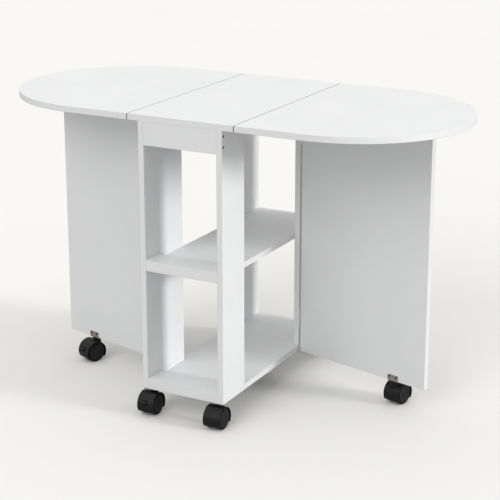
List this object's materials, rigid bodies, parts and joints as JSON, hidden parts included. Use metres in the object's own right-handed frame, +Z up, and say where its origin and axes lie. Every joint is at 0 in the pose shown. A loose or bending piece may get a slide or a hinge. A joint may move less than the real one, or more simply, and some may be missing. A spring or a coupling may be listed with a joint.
{
  "type": "gateleg table",
  "caption": "Narrow shelved table on castors with half-round drop leaves held up by solid swing-out gates.",
  "frame": {"origin": "on the floor under the middle of the table top", "axes": "+Z up, +X towards the right leaf, -Y towards the front, where the shelves' raised front rails are"},
  "size_m": [1.2, 0.63, 0.75],
  "materials": {
    "white_board": "satin white melamine facing on board",
    "screw_steel": "dark zinc",
    "rivet_steel": "satin",
    "dowel_beech": "bare fluted wood",
    "hinge_steel": "satin nickel",
    "bracket_steel": "satin",
    "castor_plastic": "satin black",
    "castor_wheel": "satin black",
    "pin_steel": "bright",
    "glide_plastic": "matte"
  },
  "bodies": {
    "frame": {"bottom_board": "white_board", "bottom_front_rail": "white_board", "castor_kingpins": "pin_steel", "castor_plates": "bracket_steel", "centre_top": "white_board", "dowels": "dowel_beech", "frame_screws": "screw_steel", "gate_hinge_fixed_plates": "hinge_steel", "gate_hinge_pins": "hinge_steel", "leaf_hinge_fixed_plates": "hinge_steel", "leaf_hinge_pins": "hinge_steel", "middle_front_rail": "white_board", "middle_shelf": "white_board", "post_front_left": "white_board", "post_front_right": "white_board", "post_rear_left": "white_board", "post_rear_right": "white_board", "rail_screws": "screw_steel", "top_rail_front": "white_board", "top_rail_rear": "white_board"},
    "left_leaf_body": {"left_leaf": "white_board", "left_leaf_hinge_plates": "hinge_steel", "left_leaf_screws": "screw_steel"},
    "left_gate_body": {"left_gate": "white_board", "left_gate_bracket": "bracket_steel", "left_gate_glide": "glide_plastic", "left_gate_hinge_plates": "hinge_steel", "left_gate_kingpin": "pin_steel", "left_gate_rivets": "rivet_steel", "left_gate_screws": "screw_steel"},
    "right_leaf_body": {"right_leaf": "white_board", "right_leaf_hinge_plates": "hinge_steel", "right_leaf_screws": "screw_steel"},
    "right_gate_body": {"right_gate": "white_board", "right_gate_bracket": "bracket_steel", "right_gate_glide": "glide_plastic", "right_gate_hinge_plates": "hinge_steel", "right_gate_kingpin": "pin_steel", "right_gate_rivets": "rivet_steel", "right_gate_screws": "screw_steel"},
    "front_left_castor_fork": {"front_left_castor_hood": "castor_plastic"},
    "front_left_castor_wheelset": {"front_left_castor_axle": "pin_steel", "front_left_castor_wheels": "castor_wheel"},
    "front_left_castor_pedal": {"front_left_castor_brake_pedal": "castor_plastic"},
    "front_right_castor_fork": {"front_right_castor_hood": "castor_plastic"},
    "front_right_castor_wheelset": {"front_right_castor_axle": "pin_steel", "front_right_castor_wheels": "castor_wheel"},
    "rear_left_castor_fork": {"rear_left_castor_hood": "castor_plastic"},
    "rear_left_castor_wheelset": {"rear_left_castor_axle": "pin_steel", "rear_left_castor_wheels": "castor_wheel"},
    "rear_right_castor_fork": {"rear_right_castor_hood": "castor_plastic"},
    "rear_right_castor_wheelset": {"rear_right_castor_axle": "pin_steel", "rear_right_castor_wheels": "castor_wheel"},
    "right_gate_castor_fork": {"right_gate_castor_hood": "castor_plastic"},
    "right_gate_castor_wheelset": {"right_gate_castor_axle": "pin_steel", "right_gate_castor_wheels": "castor_wheel"},
    "left_gate_castor_fork": {"left_gate_castor_hood": "castor_plastic"},
    "left_gate_castor_wheelset": {"left_gate_castor_axle": "pin_steel", "left_gate_castor_wheels": "castor_wheel"},
    "left_gate_castor_pedal": {"left_gate_castor_brake_pedal": "castor_plastic"}
  },
  "joints": [
    {"name": "gate_left_swing", "type": "hinge", "parent": "frame", "child": "left_gate_body", "pos_m": [-0.1162, -0.115, 0.155], "axis": [0, 0, 1], "range_deg": [-76.5, 0]},
    {"name": "gate_right_swing", "type": "hinge", "parent": "frame", "child": "right_gate_body", "pos_m": [0.1162, 0.115, 0.155], "axis": [0, 0, 1], "range_deg": [-76.5, 0]},
    {"name": "leaf_left_lift", "type": "hinge", "parent": "frame", "child": "left_leaf_body", "pos_m": [-0.143, -0.025, 0.7345], "axis": [0, 1, 0], "range_deg": [0, 4]},
    {"name": "leaf_right_lift", "type": "hinge", "parent": "frame", "child": "right_leaf_body", "pos_m": [0.143, 0.025, 0.7345], "axis": [0, -1, 0], "range_deg": [0, 4]},
    {"name": "pedal_front_left", "type": "hinge", "parent": "front_left_castor_fork", "child": "front_left_castor_pedal", "pos_m": [-0.093, -0.307, 0.036], "axis": [1, 0, 0], "range_deg": [0, 14]},
    {"name": "pedal_left_gate", "type": "hinge", "parent": "left_gate_castor_fork", "child": "left_gate_castor_pedal", "pos_m": [-0.42774, -0.08517, 0.036], "axis": [0.9171, -0.3987, 0], "range_deg": [0, 14]},
    {"name": "swivel_front_left", "type": "hinge", "parent": "frame", "child": "front_left_castor_fork", "pos_m": [-0.093, -0.269, 0.05], "axis": [0, 0, 1], "continuous": true},
    {"name": "swivel_front_right", "type": "hinge", "parent": "frame", "child": "front_right_castor_fork", "pos_m": [0.093, -0.269, 0.05], "axis": [0, 0, 1], "continuous": true},
    {"name": "swivel_rear_left", "type": "hinge", "parent": "frame", "child": "rear_left_castor_fork", "pos_m": [-0.093, 0.269, 0.05], "axis": [0, 0, 1], "continuous": true},
    {"name": "swivel_rear_right", "type": "hinge", "parent": "frame", "child": "rear_right_castor_fork", "pos_m": [0.093, 0.269, 0.05], "axis": [0, 0, 1], "continuous": true},
    {"name": "swivel_right_gate", "type": "hinge", "parent": "right_gate_body", "child": "right_gate_castor_fork", "pos_m": [0.41259, 0.05032, 0.05], "axis": [0, 0, 1], "continuous": true},
    {"name": "swivel_left_gate", "type": "hinge", "parent": "left_gate_body", "child": "left_gate_castor_fork", "pos_m": [-0.41259, -0.05032, 0.05], "axis": [0, 0, 1], "continuous": true},
    {"name": "wheel_front_left", "type": "hinge", "parent": "front_left_castor_fork", "child": "front_left_castor_wheelset", "pos_m": [-0.093, -0.284, 0.027], "axis": [1, 0, 0], "continuous": true},
    {"name": "wheel_front_right", "type": "hinge", "parent": "front_right_castor_fork", "child": "front_right_castor_wheelset", "pos_m": [0.093, -0.284, 0.027], "axis": [1, 0, 0], "continuous": true},
    {"name": "wheel_rear_left", "type": "hinge", "parent": "rear_left_castor_fork", "child": "rear_left_castor_wheelset", "pos_m": [-0.093, 0.284, 0.027], "axis": [-1, 0, 0], "continuous": true},
    {"name": "wheel_rear_right", "type": "hinge", "parent": "rear_right_castor_fork", "child": "rear_right_castor_wheelset", "pos_m": [0.093, 0.284, 0.027], "axis": [-1, 0, 0], "continuous": true},
    {"name": "wheel_right_gate", "type": "hinge", "parent": "right_gate_castor_fork", "child": "right_gate_castor_wheelset", "pos_m": [0.41609, 0.06491, 0.027], "axis": [-0.9724, 0.2334, 0], "continuous": true},
    {"name": "wheel_left_gate", "type": "hinge", "parent": "left_gate_castor_fork", "child": "left_gate_castor_wheelset", "pos_m": [-0.41857, -0.06408, 0.027], "axis": [0.9171, -0.3987, 0], "continuous": true}
  ]
}
